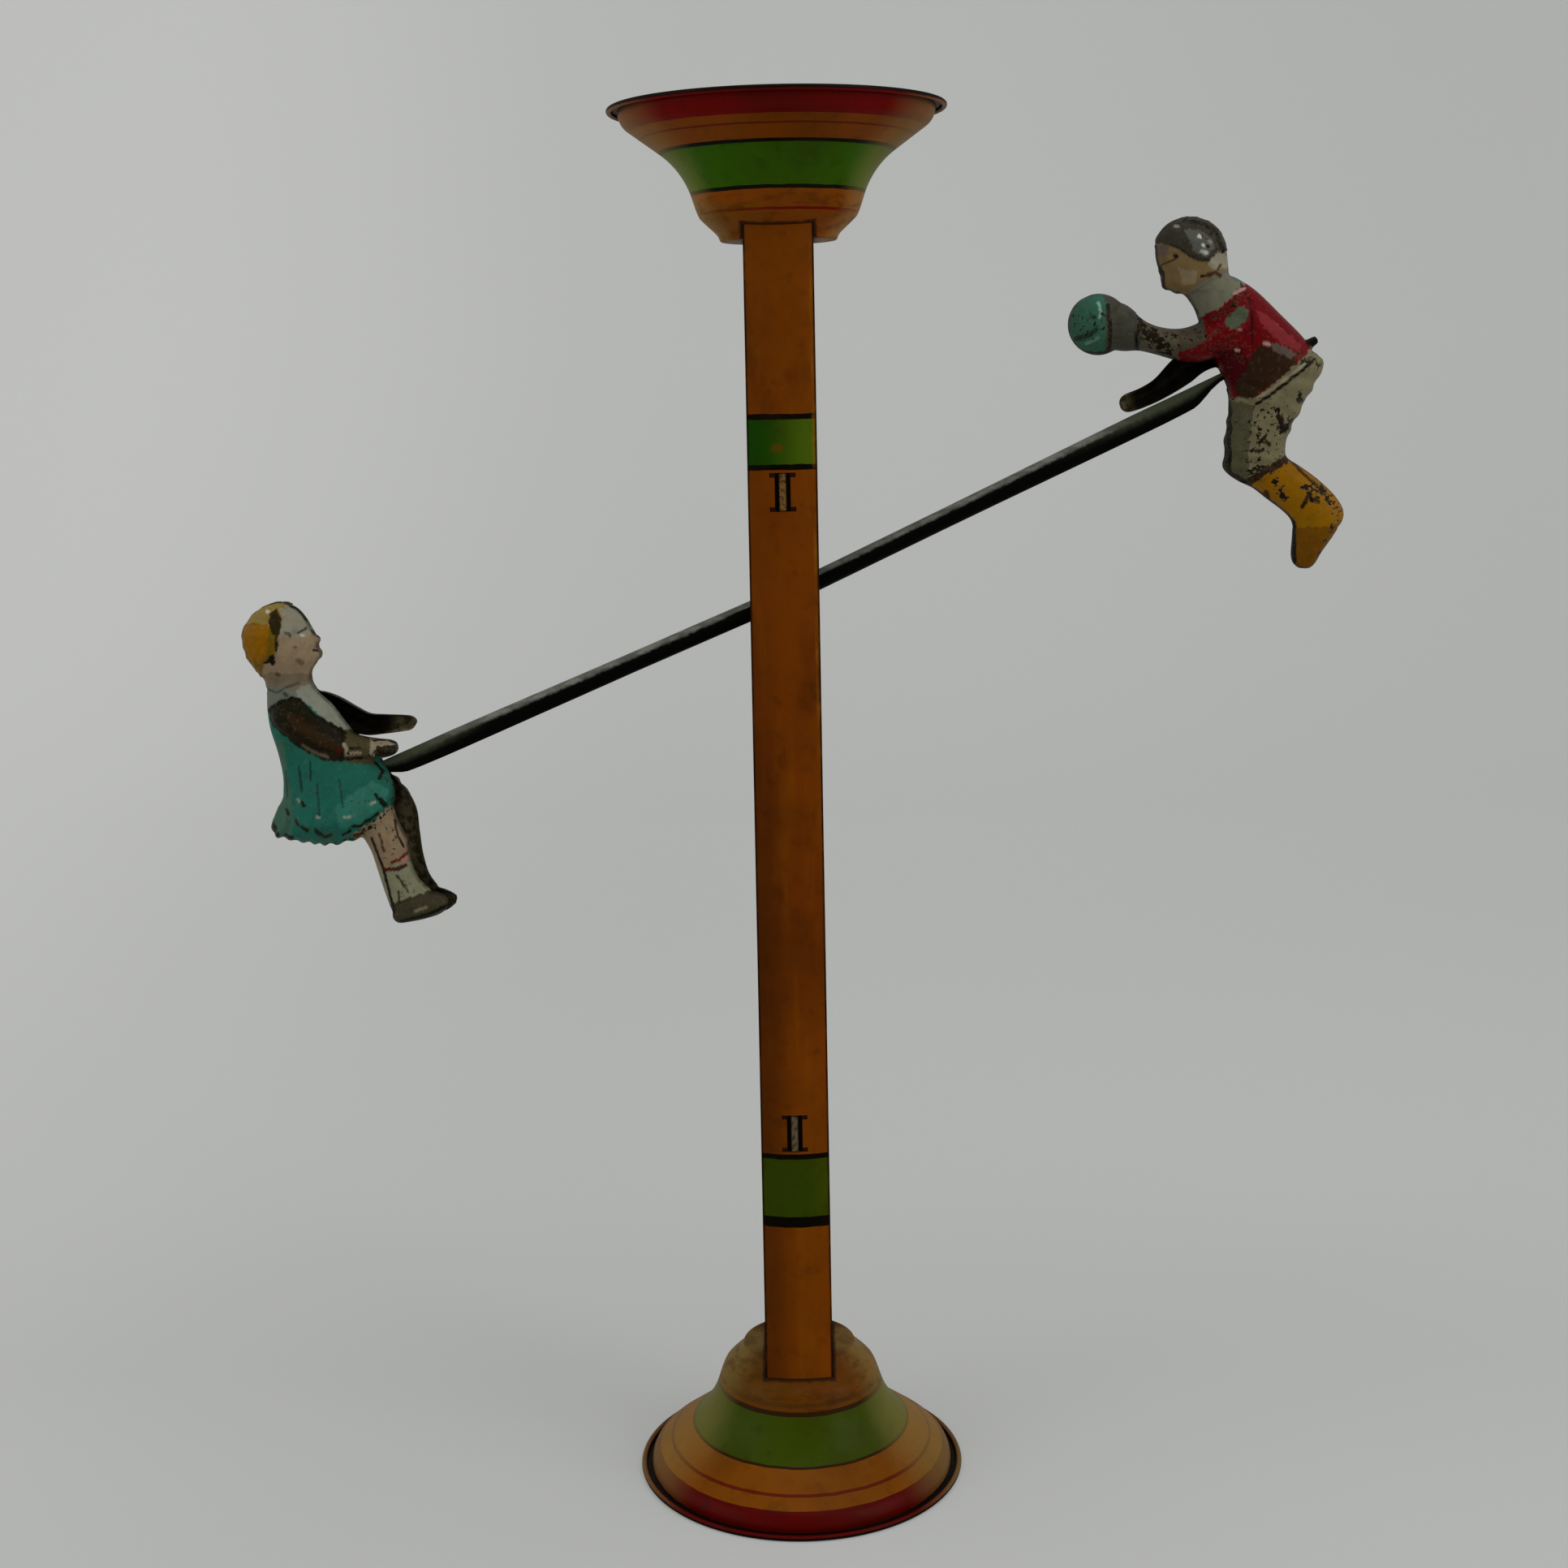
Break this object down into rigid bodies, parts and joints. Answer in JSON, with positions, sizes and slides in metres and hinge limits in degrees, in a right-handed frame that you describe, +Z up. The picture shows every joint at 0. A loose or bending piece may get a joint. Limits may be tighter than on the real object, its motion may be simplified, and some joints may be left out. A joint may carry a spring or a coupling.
{
  "type": "tinplate see-saw toy",
  "caption": "Free-standing tin toy: two riders rock on a tube beam that steps down a slotted column between two bell-shaped ends, and the toy is then turned over.",
  "frame": {"origin": "middle of the plane that the lower bell's rim rests on", "axes": "+Z up along the column, +X along the rocking plane towards the raised rider, -Y towards the front"},
  "size_m": [0.2927, 0.0884, 0.368],
  "materials": {
    "bell_litho": "gloss",
    "column_litho": "gloss",
    "bare_tin": "dull tin",
    "steel_wire": "drawn",
    "beam_paint": "worn gloss",
    "girl_paint": "worn gloss",
    "boy_paint": "worn gloss"
  },
  "bodies": {
    "stand": {"base_bell": "bell_litho", "top_bell": "bell_litho", "column_front_panel": "column_litho", "column_back_panel": "column_litho", "base_lock_plate": "bare_tin", "top_lock_plate": "bare_tin", "upper_stop_bracket": "bare_tin", "lower_stop_bracket": "bare_tin"},
    "carriage": {"front_guide_plate": "bare_tin", "back_guide_plate": "bare_tin", "axle": "steel_wire", "front_spacer_tube": "bare_tin", "back_spacer_tube": "bare_tin", "axle_washers": "bare_tin"},
    "seesaw": {"beam": "beam_paint", "front_pallet_plate": "bare_tin", "back_pallet_plate": "bare_tin", "pallet_pins": "steel_wire", "beam_rivets": "steel_wire", "girl_near_half": "girl_paint", "girl_far_half": "girl_paint", "boy_near_half": "boy_paint", "boy_far_half": "boy_paint"}
  },
  "joints": [
    {"name": "step_down", "type": "slide", "parent": "stand", "child": "carriage", "axis": [0, 0, 1], "range_m": [-0.121, 0.011]},
    {"name": "rock", "type": "hinge", "parent": "carriage", "child": "seesaw", "pos_m": [0, 0, 0.2405], "axis": [0, -1, 0], "range_deg": [-47.6, 0]}
  ]
}
